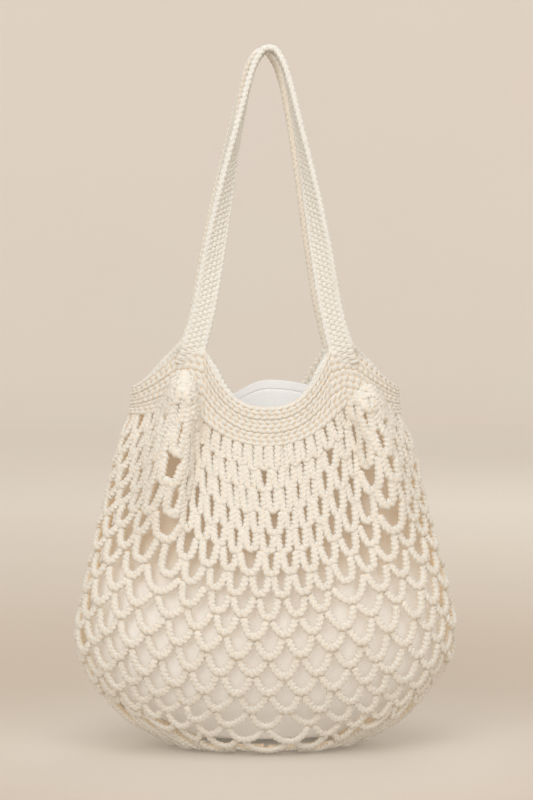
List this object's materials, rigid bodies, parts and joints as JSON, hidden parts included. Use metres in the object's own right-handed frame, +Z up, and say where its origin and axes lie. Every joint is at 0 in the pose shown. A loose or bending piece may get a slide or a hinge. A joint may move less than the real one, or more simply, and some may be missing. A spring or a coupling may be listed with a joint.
{
  "type": "mesh produce bag",
  "caption": "Crocheted cotton net bag standing on an oval base, with a dense scooped band, long shoulder straps and a loose cloth liner.",
  "frame": {"origin": "middle of the base's underside, on the surface that the bag stands on", "axes": "+Z up, the front faces -Y, +X along the bag's width, the viewer's right"},
  "size_m": [0.3866, 0.1932, 0.701],
  "materials": {
    "net_yarn": "matte crocheted cotton cord",
    "band_yarn": "matte dense crochet",
    "strap_yarn": "matte dense crochet",
    "liner_cloth": "matte woven cotton"
  },
  "bodies": {
    "bag_body": {"oval_base": "band_yarn", "net_round_01": "net_yarn", "net_round_02": "net_yarn", "net_round_03": "net_yarn", "net_round_04": "net_yarn", "net_round_05": "net_yarn", "net_round_06": "net_yarn", "net_round_07": "net_yarn", "net_round_08": "net_yarn", "net_round_09": "net_yarn", "net_round_10": "net_yarn", "net_round_11": "net_yarn", "net_round_12": "net_yarn", "net_round_13": "net_yarn", "net_round_14": "net_yarn", "net_round_15": "net_yarn", "net_round_16": "net_yarn", "net_round_17": "net_yarn", "net_round_18": "net_yarn", "band_top_edging": "band_yarn", "band_middle_ridge": "band_yarn", "band_lower_ridge": "band_yarn"},
    "front_handle": {"front_strap_web": "strap_yarn", "front_strap_outer_edging": "strap_yarn", "front_strap_inner_edging": "strap_yarn"},
    "rear_handle": {"rear_strap_web": "strap_yarn", "rear_strap_outer_edging": "strap_yarn", "rear_strap_inner_edging": "strap_yarn"},
    "liner": {"liner_front_panel": "liner_cloth", "liner_rear_panel": "liner_cloth", "liner_hem": "liner_cloth", "liner_bottom_panel": "liner_cloth"}
  },
  "joints": [
    {"name": "front_handle_fold", "type": "hinge", "parent": "bag_body", "child": "front_handle", "pos_m": [0, -0.052, 0.402], "axis": [1, 0, 0], "range_deg": [0, 150]},
    {"name": "rear_handle_fold", "type": "hinge", "parent": "bag_body", "child": "rear_handle", "pos_m": [0, 0.052, 0.402], "axis": [-1, 0, 0], "range_deg": [0, 150]},
    {"name": "liner_lift", "type": "slide", "parent": "bag_body", "child": "liner", "axis": [0, 0, 1], "range_m": [0, 0.015]}
  ]
}
